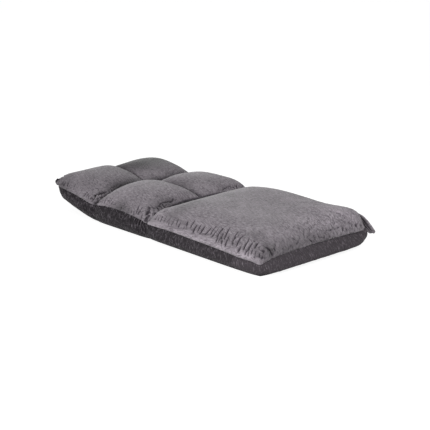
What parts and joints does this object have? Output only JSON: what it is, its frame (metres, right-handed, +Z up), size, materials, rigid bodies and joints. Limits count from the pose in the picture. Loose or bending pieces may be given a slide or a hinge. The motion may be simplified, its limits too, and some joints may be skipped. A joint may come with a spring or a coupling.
{
  "type": "folding floor chair",
  "caption": "Padded folding floor chair lying open: crowned seat, tufted back and tufted head rest over a steel frame with ratchet hinges at the hip and neck folds.",
  "frame": {"origin": "on the floor, under the middle of the open chair's box", "axes": "+X to the sitter's left-hand side seen from behind the head rest, that is to the right in the picture's front view; +Y from the seat's front towards the head rest; +Z up"},
  "size_m": [0.5437, 1.1205, 0.1567],
  "materials": {
    "cover_fabric": "matte",
    "band_fabric": "matte",
    "foam": "matte",
    "webbing": "matte",
    "tube_paint": "satin",
    "zinc_steel": "satin",
    "zip_teeth": "satin",
    "zip_metal": "satin"
  },
  "bodies": {
    "seat": {"seat_top_cover": "cover_fabric", "seat_side_band": "band_fabric", "seat_bottom_panel": "band_fabric", "seat_base_foam": "foam", "seat_top_foam": "foam", "seat_frame_tube": "tube_paint", "seat_crossbars": "tube_paint", "seat_webbing": "webbing", "seat_tube_rivets": "zinc_steel", "seat_corner_pleat": "cover_fabric", "hip_toothed_plate_left": "zinc_steel", "hip_toothed_plate_right": "zinc_steel"},
    "back": {"back_top_cover_left": "cover_fabric", "back_top_cover_right": "cover_fabric", "back_side_band_left": "band_fabric", "back_side_band_right": "band_fabric", "back_bottom_panel": "band_fabric", "back_base_foam": "foam", "back_top_foam_left": "foam", "back_top_foam_right": "foam", "back_side_tube_left": "tube_paint", "back_side_tube_right": "tube_paint", "back_crossbars": "tube_paint", "back_webbing": "webbing", "back_tube_rivets": "zinc_steel", "hip_housing_left": "zinc_steel", "hip_housing_right": "zinc_steel", "hip_main_rivets": "zinc_steel", "hip_pawl_pins": "zinc_steel", "hip_pawl_springs": "zinc_steel", "neck_housing_left": "zinc_steel", "neck_housing_right": "zinc_steel", "neck_main_rivets": "zinc_steel", "neck_pawl_pins": "zinc_steel", "neck_pawl_springs": "zinc_steel"},
    "head": {"neck_toothed_plate_left": "zinc_steel", "neck_toothed_plate_right": "zinc_steel", "head_top_cover_left": "cover_fabric", "head_top_cover_right": "cover_fabric", "head_side_band": "band_fabric", "head_bottom_panel": "band_fabric", "head_base_foam": "foam", "head_top_foam_left": "foam", "head_top_foam_right": "foam", "head_frame_tube": "tube_paint", "head_webbing": "webbing", "head_tube_rivets": "zinc_steel", "zip_tape": "band_fabric", "zip_teeth": "zip_teeth"},
    "hip_pawl_left": {"hip_pawl_left": "zinc_steel"},
    "hip_pawl_right": {"hip_pawl_right": "zinc_steel"},
    "neck_pawl_left": {"neck_pawl_left": "zinc_steel"},
    "neck_pawl_right": {"neck_pawl_right": "zinc_steel"},
    "zip_slider": {"zip_slider": "zip_metal"},
    "zip_pull": {"zip_pull": "zip_metal"}
  },
  "joints": [
    {"name": "hip_fold", "type": "hinge", "parent": "seat", "child": "back", "pos_m": [0, 0.01128, 0.038], "axis": [1, 0, 0], "range_deg": [0, 108], "deforming": ["seat_top_cover", "seat_side_band", "back_top_cover_left", "back_top_cover_right", "back_side_band_left", "back_side_band_right"]},
    {"name": "neck_fold", "type": "hinge", "parent": "back", "child": "head", "pos_m": [0, 0.30328, 0.038], "axis": [1, 0, 0], "range_deg": [-9, 63], "deforming": ["back_top_cover_left", "back_top_cover_right", "back_side_band_left", "back_side_band_right", "head_top_cover_left", "head_top_cover_right", "head_side_band"]},
    {"name": "hip_pawl_left_lift", "type": "hinge", "parent": "back", "child": "hip_pawl_left", "pos_m": [-0.223, 0.0453, 0.038], "axis": [1, 0, 0], "range_deg": [0, 10], "stiffness_Nm_per_rad": 0.05},
    {"name": "hip_pawl_right_lift", "type": "hinge", "parent": "back", "child": "hip_pawl_right", "pos_m": [0.223, 0.0453, 0.038], "axis": [1, 0, 0], "range_deg": [0, 10], "stiffness_Nm_per_rad": 0.05},
    {"name": "neck_pawl_left_lift", "type": "hinge", "parent": "back", "child": "neck_pawl_left", "pos_m": [-0.223, 0.26926, 0.038], "axis": [-1, 0, 0], "range_deg": [0, 10], "stiffness_Nm_per_rad": 0.05},
    {"name": "neck_pawl_right_lift", "type": "hinge", "parent": "back", "child": "neck_pawl_right", "pos_m": [0.223, 0.26926, 0.038], "axis": [-1, 0, 0], "range_deg": [0, 10], "stiffness_Nm_per_rad": 0.05},
    {"name": "zip_slide", "type": "slide", "parent": "head", "child": "zip_slider", "axis": [1, 0, 0], "range_m": [0, 0.316]},
    {"name": "zip_pull_turn", "type": "hinge", "parent": "zip_slider", "child": "zip_pull", "pos_m": [-0.158, 0.55954, 0.07859], "axis": [0, -0.1564, 0.9877], "range_deg": [0, 180]}
  ]
}
